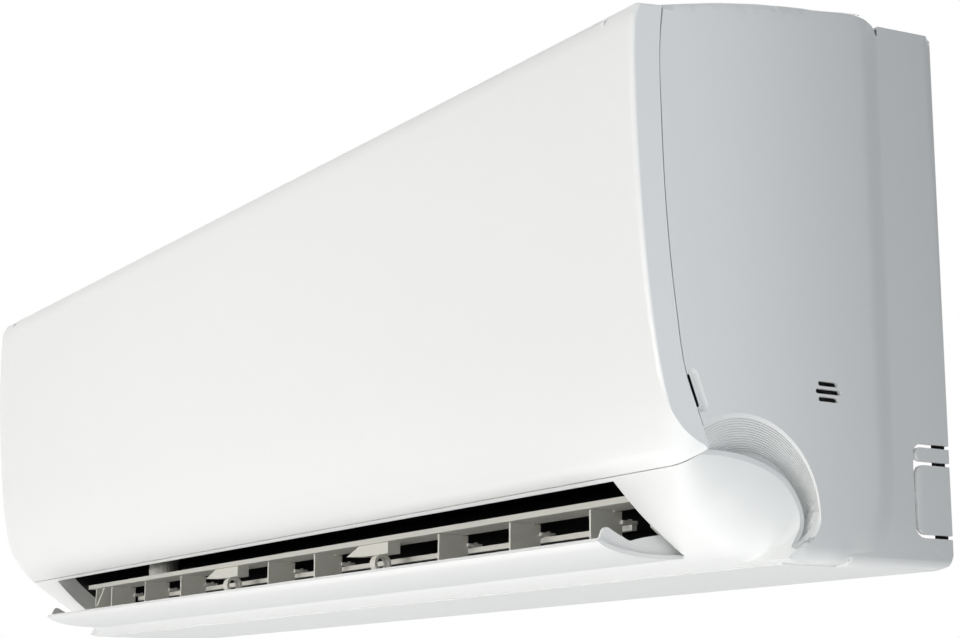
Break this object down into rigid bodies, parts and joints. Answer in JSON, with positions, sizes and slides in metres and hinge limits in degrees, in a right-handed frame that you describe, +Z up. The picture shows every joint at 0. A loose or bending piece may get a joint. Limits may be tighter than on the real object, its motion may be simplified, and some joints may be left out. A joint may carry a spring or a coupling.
{
  "type": "mini split indoor unit",
  "caption": "Wall-hung indoor unit of a split air conditioner, with a hinged front panel, sliding filters, a motor-driven outlet flap, linked swing vanes and a cross-flow fan.",
  "frame": {"origin": "on the wall, at the middle of the mounting plate's back face", "axes": "+X to the right of someone facing the unit, +Y into the wall, +Z up"},
  "size_m": [0.965, 0.2044, 0.295],
  "materials": {
    "shell": "fine satin moulded plastic",
    "panel": "satin white moulded plastic",
    "flap": "satin white moulded plastic",
    "vanes": "cream moulded plastic",
    "motor_plastic": "light grey moulded plastic",
    "duct": "black moulded plastic",
    "dark_plastic": "dark grey moulded plastic",
    "steel": "zinc plated steel",
    "motor_metal": "grey painted steel",
    "fins": "thin pressed fins",
    "copper": "drawn copper tube",
    "brass": "machined brass",
    "rubber": "soft black rubber",
    "foam": "black closed cell foam",
    "hose": "white foam and hose",
    "filter": "woven plastic net in a frame",
    "circuit_board": "green circuit board"
  },
  "bodies": {
    "base": {"mounting_plate": "steel", "rear_chassis": "shell", "wall_seal_right": "foam", "wall_seal_left": "foam", "air_duct": "duct", "drain_pan": "shell", "drain_hose": "hose", "evaporator_front_lower": "fins", "evaporator_front_upper": "fins", "evaporator_rear": "fins", "tube_plate_right": "copper", "tube_plate_left": "copper", "suction_pipe": "copper", "liquid_pipe": "copper", "pipe_insulation": "hose", "suction_flare_nut": "brass", "liquid_flare_nut": "brass", "pipe_clamp": "dark_plastic", "front_casing": "shell", "casing_screw_left": "steel", "casing_screw_middle": "steel", "casing_screw_right": "steel", "vane_carrier": "vanes", "vane_rail": "vanes", "swing_motor": "motor_plastic", "flap_motor": "motor_plastic", "fan_bearing": "rubber", "fan_motor": "motor_metal", "motor_cover": "steel", "motor_cover_screw_rear": "steel", "motor_cover_screw_front": "steel", "electrical_box": "shell", "electrical_cover": "shell", "electrical_cover_screw": "steel", "control_board": "circuit_board", "terminal_block": "dark_plastic", "receiver_board": "circuit_board"},
    "panel": {"front_panel": "panel"},
    "filter_right": {"air_filter_right": "filter"},
    "filter_left": {"air_filter_left": "filter"},
    "vane_1": {"vane_1": "vanes"},
    "vane_2": {"vane_2": "vanes"},
    "vane_3": {"vane_3": "vanes"},
    "vane_4": {"vane_4": "vanes"},
    "vane_5": {"vane_5": "vanes"},
    "vane_6": {"vane_6": "vanes"},
    "vane_7": {"vane_7": "vanes"},
    "vane_8": {"vane_8": "vanes"},
    "link": {"vane_link": "vanes"},
    "flap": {"flap": "flap", "flap_gear": "vanes"},
    "flap_drive": {"flap_drive_gear": "vanes"},
    "fan": {"fan_impeller": "dark_plastic", "fan_shaft": "steel"},
    "button": {"auxiliary_button": "vanes"}
  },
  "joints": [
    {"name": "panel_hinge", "type": "hinge", "parent": "base", "child": "panel", "pos_m": [0, -0.174, 0.089], "axis": [-1, 0, 0], "range_deg": [0, 60]},
    {"name": "filter_right_slide", "type": "slide", "parent": "base", "child": "filter_right", "axis": [0, 0.6539, 0.7566], "range_m": [0, 0.09]},
    {"name": "filter_left_slide", "type": "slide", "parent": "base", "child": "filter_left", "axis": [0, 0.6539, 0.7566], "range_m": [0, 0.09]},
    {"name": "flap_hinge", "type": "hinge", "parent": "base", "child": "flap", "pos_m": [0, -0.117, -0.1688], "axis": [1, 0, 0], "range_deg": [-30, 8]},
    {"name": "flap_drive_spin", "type": "hinge", "parent": "base", "child": "flap_drive", "pos_m": [0.4164, -0.10557, -0.1622], "axis": [1, 0, 0], "range_deg": [-5, 17]},
    {"name": "fan_spin", "type": "hinge", "parent": "base", "child": "fan", "pos_m": [0, -0.092, -0.074], "axis": [1, 0, 0], "continuous": true},
    {"name": "button_press", "type": "slide", "parent": "base", "child": "button", "axis": [0, 1, 0], "range_m": [0, 0.0015], "stiffness_N_per_m": 300},
    {"name": "vane_1_swing", "type": "hinge", "parent": "base", "child": "vane_1", "pos_m": [-0.364, -0.121, -0.156], "axis": [0, 0, 1], "range_deg": [-35, 35]},
    {"name": "vane_2_swing", "type": "hinge", "parent": "base", "child": "vane_2", "pos_m": [-0.291, -0.121, -0.156], "axis": [0, 0, 1], "range_deg": [-35, 35]},
    {"name": "vane_3_swing", "type": "hinge", "parent": "base", "child": "vane_3", "pos_m": [-0.218, -0.121, -0.156], "axis": [0, 0, 1], "range_deg": [-35, 35]},
    {"name": "vane_4_swing", "type": "hinge", "parent": "base", "child": "vane_4", "pos_m": [-0.061, -0.121, -0.156], "axis": [0, 0, 1], "range_deg": [-35, 35]},
    {"name": "vane_5_swing", "type": "hinge", "parent": "base", "child": "vane_5", "pos_m": [0.012, -0.121, -0.156], "axis": [0, 0, 1], "range_deg": [-35, 35]},
    {"name": "vane_6_swing", "type": "hinge", "parent": "base", "child": "vane_6", "pos_m": [0.18, -0.121, -0.156], "axis": [0, 0, 1], "range_deg": [-35, 35]},
    {"name": "vane_7_swing", "type": "hinge", "parent": "base", "child": "vane_7", "pos_m": [0.262, -0.121, -0.156], "axis": [0, 0, 1], "range_deg": [-35, 35]},
    {"name": "vane_8_swing", "type": "hinge", "parent": "base", "child": "vane_8", "pos_m": [0.344, -0.121, -0.156], "axis": [0, 0, 1], "range_deg": [-35, 35]},
    {"name": "link_pivot", "type": "hinge", "parent": "vane_2", "child": "link", "pos_m": [-0.291, -0.11, -0.151], "axis": [0, 0, 1], "range_deg": [-35, 35]}
  ],
  "couplings": [
    {"joint": "vane_1_swing", "follows": "vane_2_swing", "ratio": 1},
    {"joint": "vane_3_swing", "follows": "vane_2_swing", "ratio": 1},
    {"joint": "vane_4_swing", "follows": "vane_2_swing", "ratio": 1},
    {"joint": "vane_5_swing", "follows": "vane_2_swing", "ratio": 1},
    {"joint": "vane_6_swing", "follows": "vane_2_swing", "ratio": 1},
    {"joint": "vane_7_swing", "follows": "vane_2_swing", "ratio": 1},
    {"joint": "vane_8_swing", "follows": "vane_2_swing", "ratio": 1},
    {"joint": "link_pivot", "follows": "vane_2_swing", "ratio": -1},
    {"joint": "flap_drive_spin", "follows": "flap_hinge", "ratio": -0.52632}
  ]
}
